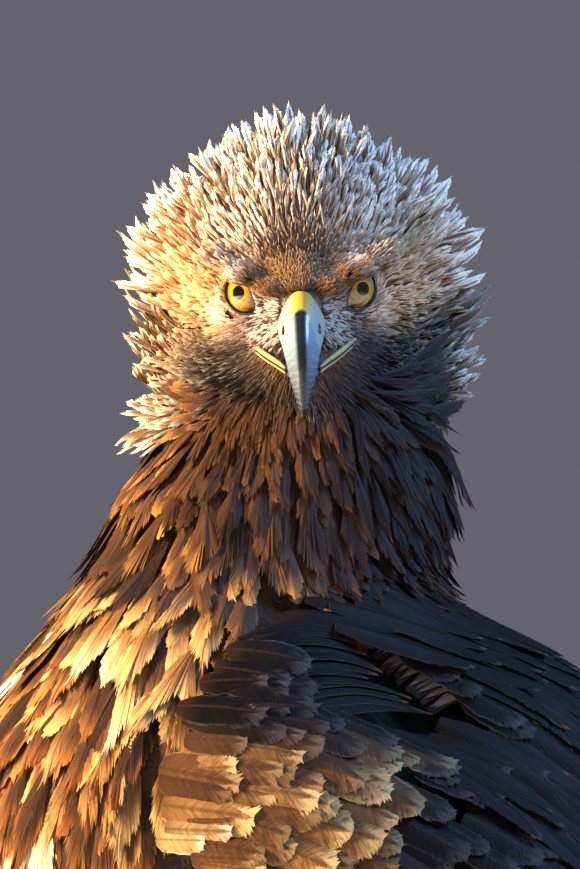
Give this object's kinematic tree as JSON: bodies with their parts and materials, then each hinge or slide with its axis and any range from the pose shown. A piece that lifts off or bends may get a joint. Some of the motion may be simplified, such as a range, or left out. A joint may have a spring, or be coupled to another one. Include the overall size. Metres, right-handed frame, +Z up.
{
  "type": "golden eagle figure",
  "caption": "Life-size golden eagle standing on the floor and looking back over its left shoulder, with folded wings, raised neck hackles and a hooked bill.",
  "frame": {"origin": "middle of the bounding box at the floor", "axes": "the bird's body faces -Y and its left side is +X; the head looks along +X; +Z is up"},
  "size_m": [0.2266, 0.6178, 0.676],
  "materials": {
    "head": "tawny lance-shaped hackles",
    "eye_left": "wet, clear cornea over an amber iris",
    "eye_right": "wet, clear cornea over an amber iris",
    "bill_upper": "yellow cere and gape, blue-grey horn with a black hook",
    "bill_lower": "blue-grey horn with a yellow rim",
    "neck": "tawny lance-shaped hackles",
    "torso": "soft brown feathers",
    "tail": "grey-brown barred feathers",
    "wing_left": "blackish-brown feathers with pale edges",
    "thigh_left": "soft brown feathers",
    "tarsus_left": "short pale brown feathers",
    "foot_left": "yellow scaled skin",
    "claw_left_inner": "black horn",
    "claw_left_middle": "black horn",
    "claw_left_outer": "black horn",
    "claw_left_hind": "black horn",
    "wing_right": "blackish-brown feathers with pale edges",
    "thigh_right": "soft brown feathers",
    "tarsus_right": "short pale brown feathers",
    "foot_right": "yellow scaled skin",
    "claw_right_inner": "black horn",
    "claw_right_middle": "black horn",
    "claw_right_outer": "black horn",
    "claw_right_hind": "black horn"
  },
  "bodies": {
    "root": {"head": "head", "eye_left": "eye_left", "eye_right": "eye_right", "bill_upper": "bill_upper", "bill_lower": "bill_lower", "neck": "neck", "torso": "torso", "tail": "tail", "wing_left": "wing_left", "thigh_left": "thigh_left", "tarsus_left": "tarsus_left", "foot_left": "foot_left", "claw_left_inner": "claw_left_inner", "claw_left_middle": "claw_left_middle", "claw_left_outer": "claw_left_outer", "claw_left_hind": "claw_left_hind", "wing_right": "wing_right", "thigh_right": "thigh_right", "tarsus_right": "tarsus_right", "foot_right": "foot_right", "claw_right_inner": "claw_right_inner", "claw_right_middle": "claw_right_middle", "claw_right_outer": "claw_right_outer", "claw_right_hind": "claw_right_hind"}
  },
  "joints": []
}
